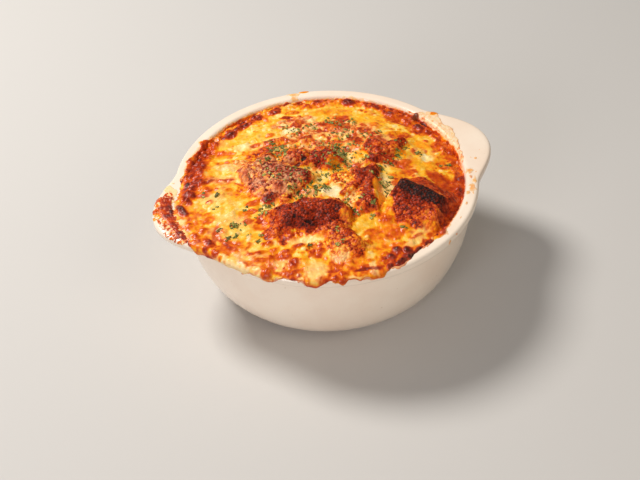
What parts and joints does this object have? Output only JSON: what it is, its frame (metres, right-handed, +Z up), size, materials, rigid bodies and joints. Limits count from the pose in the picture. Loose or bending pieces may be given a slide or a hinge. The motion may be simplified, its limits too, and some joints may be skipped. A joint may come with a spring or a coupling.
{
  "type": "french onion soup",
  "caption": "French onion soup in a round stoneware bowl with two lugs, under a browned cheese top with toast standing proud of it, green herb flakes and cheese run over one side of the rim.",
  "frame": {"origin": "centre of the foot ring, on the surface that the bowl stands on", "axes": "+Z up, +X through the middle of one lug handle, -X through the other, which the cheese has run on to; +Y is the side away from the run-over"},
  "size_m": [0.1584, 0.136, 0.0584],
  "materials": {
    "stoneware": "cream-white glaze, satin gloss",
    "baked_cheese": "melted and browned, slightly oily sheen",
    "toast": "toasted, rough, glistening in places",
    "herbs": "dried chopped parsley"
  },
  "bodies": {
    "root": {"bowl": "stoneware", "soup": "baked_cheese", "toast_charred": "toast", "toast_front": "toast", "toast_middle": "toast", "toast_left": "toast", "toast_centre": "toast", "toast_back": "toast"}
  },
  "joints": []
}
